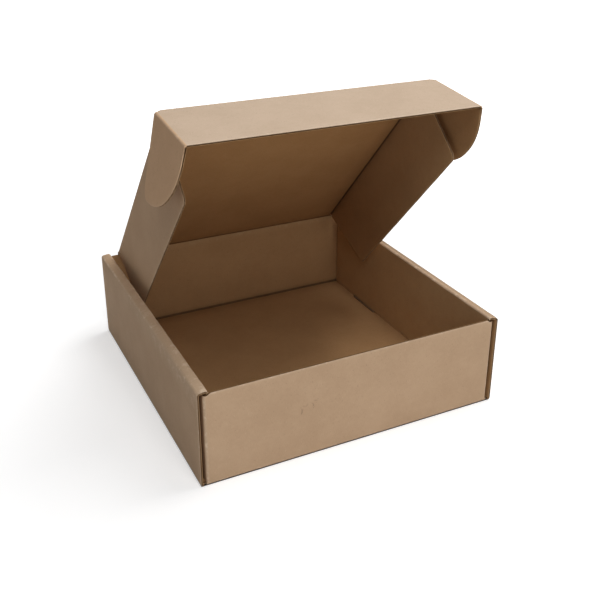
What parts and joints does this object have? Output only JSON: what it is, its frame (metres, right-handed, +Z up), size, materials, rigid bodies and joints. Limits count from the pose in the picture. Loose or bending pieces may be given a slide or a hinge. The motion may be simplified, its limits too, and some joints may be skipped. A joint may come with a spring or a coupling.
{
  "type": "corrugated mailer box",
  "caption": "Square roll-end tuck-front mailer box in kraft corrugated board, standing with its hinged lid half open.",
  "frame": {"origin": "centre of the underside of the base", "axes": "+Z up, -Y out of the front wall where the lid tucks in, +X to the right"},
  "size_m": [0.2009, 0.2, 0.1973],
  "materials": {
    "kraft_board": "uncoated brown kraft paper on fine-flute corrugated board"
  },
  "bodies": {
    "tray": {"tray": "kraft_board"},
    "lid": {"lid": "kraft_board"},
    "left_wing": {"left_wing": "kraft_board"},
    "right_wing": {"right_wing": "kraft_board"},
    "tuck_flap": {"tuck_flap": "kraft_board"},
    "left_ear": {"left_ear": "kraft_board"},
    "right_ear": {"right_ear": "kraft_board"}
  },
  "joints": [
    {"name": "lid_hinge", "type": "hinge", "parent": "tray", "child": "lid", "pos_m": [0, 0.09925, 0.06125], "axis": [-1, 0, 0], "range_deg": [-47, 56]},
    {"name": "left_wing_fold", "type": "hinge", "parent": "lid", "child": "left_wing", "pos_m": [-0.0863, 0.0987, 0.06074], "axis": [0, -0.682, 0.7314], "range_deg": [0, 85]},
    {"name": "right_wing_fold", "type": "hinge", "parent": "lid", "child": "right_wing", "pos_m": [0.0863, 0.0987, 0.06074], "axis": [0, 0.682, -0.7314], "range_deg": [0, 85]},
    {"name": "tuck_fold", "type": "hinge", "parent": "lid", "child": "tuck_flap", "pos_m": [0, -0.02693, 0.19656], "axis": [1, 0, 0], "range_deg": [-52.5, 44.1]},
    {"name": "left_ear_fold", "type": "hinge", "parent": "tuck_flap", "child": "left_ear", "pos_m": [-0.09095, -0.02693, 0.19656], "axis": [0, -0.9925, -0.1219], "range_deg": [-16, 13.4]},
    {"name": "right_ear_fold", "type": "hinge", "parent": "tuck_flap", "child": "right_ear", "pos_m": [0.09095, -0.02693, 0.19656], "axis": [0, 0.9925, 0.1219], "range_deg": [-5.5, 4.6]}
  ],
  "couplings": [
    {"joint": "tuck_fold", "follows": "lid_hinge", "ratio": -0.936},
    {"joint": "left_ear_fold", "follows": "lid_hinge", "ratio": -0.283},
    {"joint": "right_ear_fold", "follows": "lid_hinge", "ratio": -0.0957}
  ]
}
